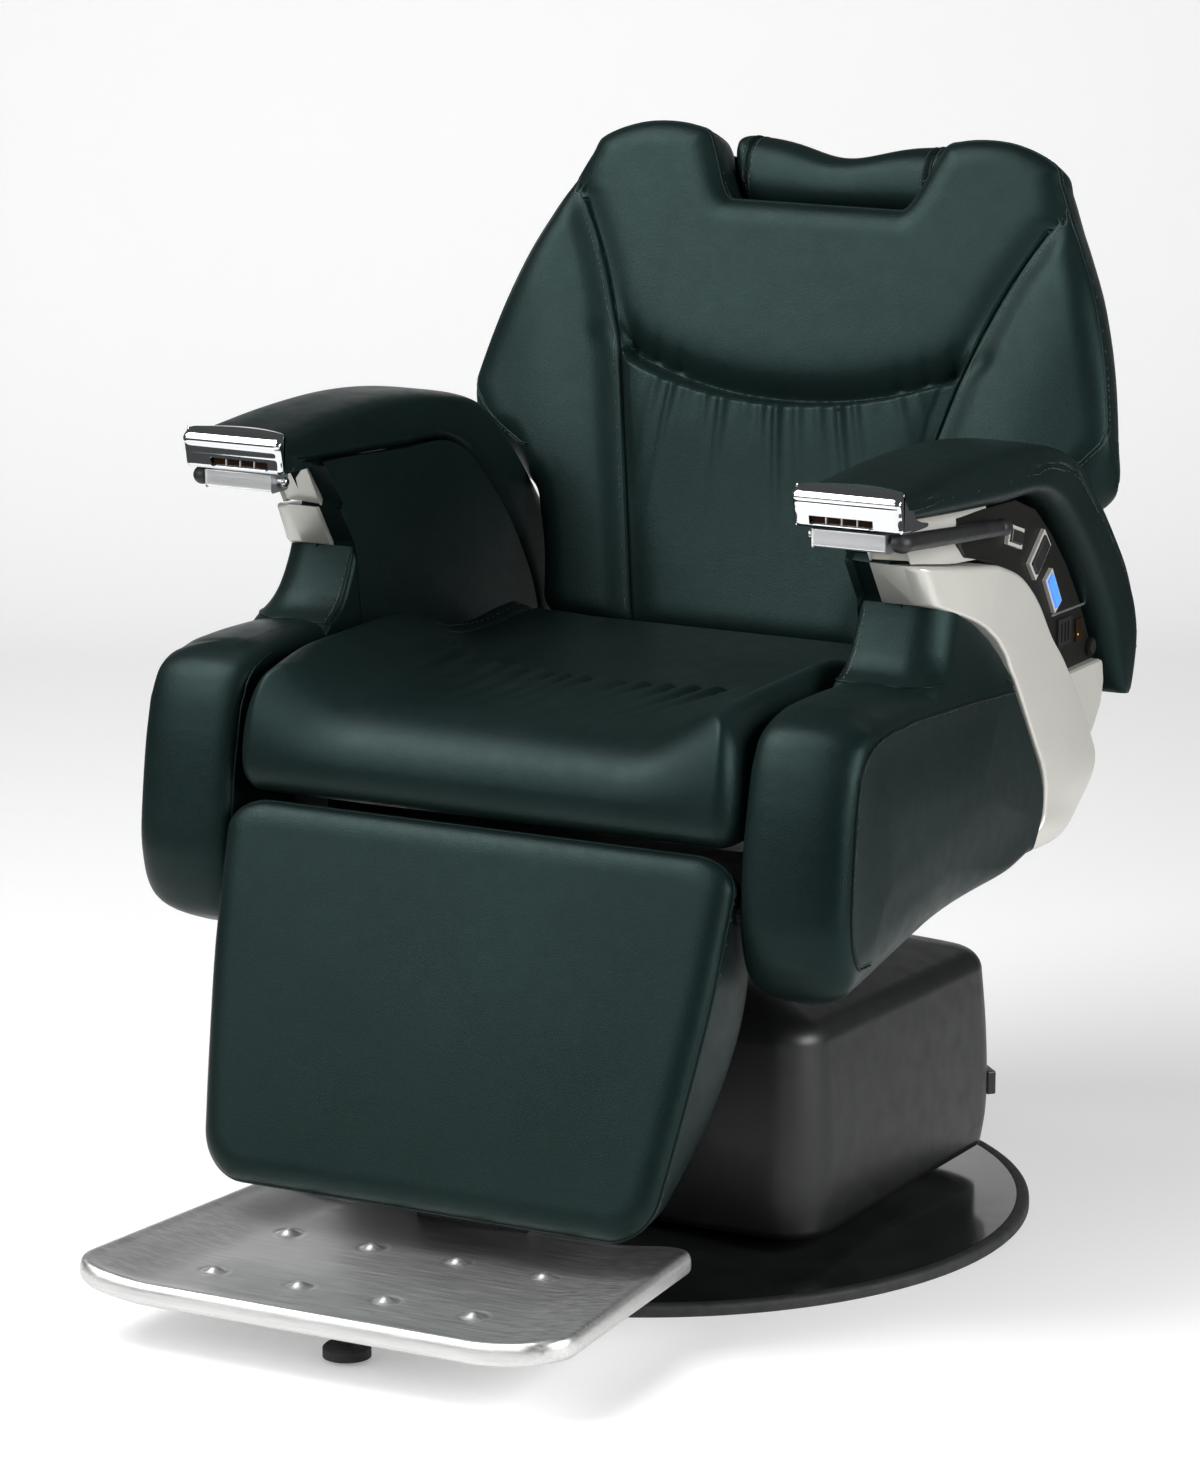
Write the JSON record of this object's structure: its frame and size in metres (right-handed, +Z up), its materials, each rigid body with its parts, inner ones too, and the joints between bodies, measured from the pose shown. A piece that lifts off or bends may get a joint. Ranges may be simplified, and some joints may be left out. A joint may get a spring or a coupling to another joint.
{
  "type": "electric barber chair",
  "caption": "Padded barber chair on a round floor plate: it swivels, lifts and reclines, with a sliding headrest, a tilting legrest with metal footplate, and arms with switches and levers.",
  "frame": {"origin": "middle of the floor plate's underside, on the swivel's axis", "axes": "+Z up, -Y the way the chair faces, +X the sitter's left"},
  "size_m": [0.704, 1.0217, 0.9258],
  "materials": {
    "leather": "satin",
    "back_vinyl": "satin",
    "silver": "satin",
    "chrome": "polished",
    "footplate_metal": "satin",
    "cover_plastic": "matte",
    "base_gloss": "gloss",
    "rubber": "matte",
    "panel_metal": "satin",
    "switch_plastic": "satin",
    "steel": "satin",
    "bright_steel": "satin",
    "button_blue": "gloss",
    "smoked_window": "gloss"
  },
  "bodies": {
    "base": {"base_plate": "base_gloss", "base_edge_trim": "rubber", "swivel_spindle": "bright_steel", "swivel_bearing": "bright_steel"},
    "turret": {"turntable": "steel", "lift_cylinder": "steel", "pump_unit": "steel", "oil_tank": "steel", "base_cover": "cover_plastic", "power_inlet": "switch_plastic"},
    "seat": {"lift_ram": "bright_steel", "seat_frame": "steel", "seat_pan": "steel", "seat_cushion": "leather", "side_panel_left": "leather", "side_panel_right": "leather", "arm_core_left": "leather", "arm_core_right": "leather", "arm_neck_left": "leather", "arm_neck_right": "leather", "trim_band_left": "silver", "trim_band_right": "silver", "arm_rear_cover_left": "silver", "arm_rear_cover_right": "silver", "arm_pad_left": "leather", "arm_pad_right": "leather", "arm_cap_left": "chrome", "arm_cap_right": "chrome", "cap_insert_left": "panel_metal", "cap_insert_right": "panel_metal", "lever_block_left": "silver", "lever_block_right": "silver", "arm_inner_plate_left": "silver", "arm_inner_plate_right": "silver", "control_panel": "panel_metal", "blank_panel": "panel_metal", "seat_switch_bezel": "silver", "back_switch_bezel": "silver", "memory_bezel": "silver", "speaker_grille": "switch_plastic", "indicator_window": "smoked_window", "round_key_bezel": "panel_metal"},
    "backrest": {"back_frame": "steel", "back_shaft": "bright_steel", "back_cushion": "leather", "back_shell": "back_vinyl", "headrest_guide": "switch_plastic"},
    "headrest": {"headrest_bracket": "steel", "headrest_pillow": "leather"},
    "legrest": {"legrest_frame": "leather", "legrest_pad": "leather", "footplate_bracket": "steel", "footplate": "footplate_metal"},
    "levelling_foot": {"levelling_foot": "rubber"},
    "lever_left": {"lever_left": "switch_plastic"},
    "lever_right": {"lever_right": "switch_plastic"},
    "seat_switch": {"seat_switch": "switch_plastic"},
    "back_switch": {"back_switch": "switch_plastic"},
    "memory_button": {"memory_button": "button_blue"},
    "round_key": {"round_key": "switch_plastic"}
  },
  "joints": [
    {"name": "swivel", "type": "hinge", "parent": "base", "child": "turret", "pos_m": [0, 0, 0.0443], "axis": [0, 0, 1], "continuous": true},
    {"name": "seat_lift", "type": "slide", "parent": "turret", "child": "seat", "axis": [0, 0, 1], "range_m": [0, 0.18]},
    {"name": "recline", "type": "hinge", "parent": "seat", "child": "backrest", "pos_m": [0, 0.235, 0.44], "axis": [-1, 0, 0], "range_deg": [0, 65]},
    {"name": "headrest_slide", "type": "slide", "parent": "backrest", "child": "headrest", "axis": [0, 0.342, 0.9397], "range_m": [0, 0.08]},
    {"name": "legrest_tilt", "type": "hinge", "parent": "seat", "child": "legrest", "pos_m": [0, -0.283, 0.361], "axis": [-1, 0, 0], "range_deg": [0, 75]},
    {"name": "foot_levelling", "type": "slide", "parent": "legrest", "child": "levelling_foot", "axis": [0, 0, 1], "range_m": [0, 0.008]},
    {"name": "lever_left_tilt", "type": "hinge", "parent": "seat", "child": "lever_left", "pos_m": [0.345, -0.1875, 0.66795], "axis": [-1, 0, 0], "range_deg": [0, 5], "stiffness_Nm_per_rad": 4, "springref_deg": -3.44},
    {"name": "lever_right_tilt", "type": "hinge", "parent": "seat", "child": "lever_right", "pos_m": [-0.345, -0.1875, 0.66795], "axis": [-1, 0, 0], "range_deg": [0, 5], "stiffness_Nm_per_rad": 4, "springref_deg": -3.44},
    {"name": "seat_switch_rock", "type": "hinge", "parent": "seat", "child": "seat_switch", "pos_m": [0.3321, 0.064, 0.631], "axis": [0, 0.3024, 0.9532], "range_deg": [-5, 5], "stiffness_Nm_per_rad": 0.05},
    {"name": "back_switch_rock", "type": "hinge", "parent": "seat", "child": "back_switch", "pos_m": [0.3321, 0.1155, 0.6065], "axis": [0, -0.6428, 0.766], "range_deg": [-5, 5], "stiffness_Nm_per_rad": 0.05},
    {"name": "memory_press", "type": "slide", "parent": "seat", "child": "memory_button", "axis": [-1, 0, 0], "range_m": [0, 0.0015], "stiffness_N_per_m": 600, "springref_m": -0.0005},
    {"name": "key_press", "type": "slide", "parent": "seat", "child": "round_key", "axis": [-1, 0, 0], "range_m": [0, 0.0015], "stiffness_N_per_m": 600, "springref_m": -0.0005}
  ]
}
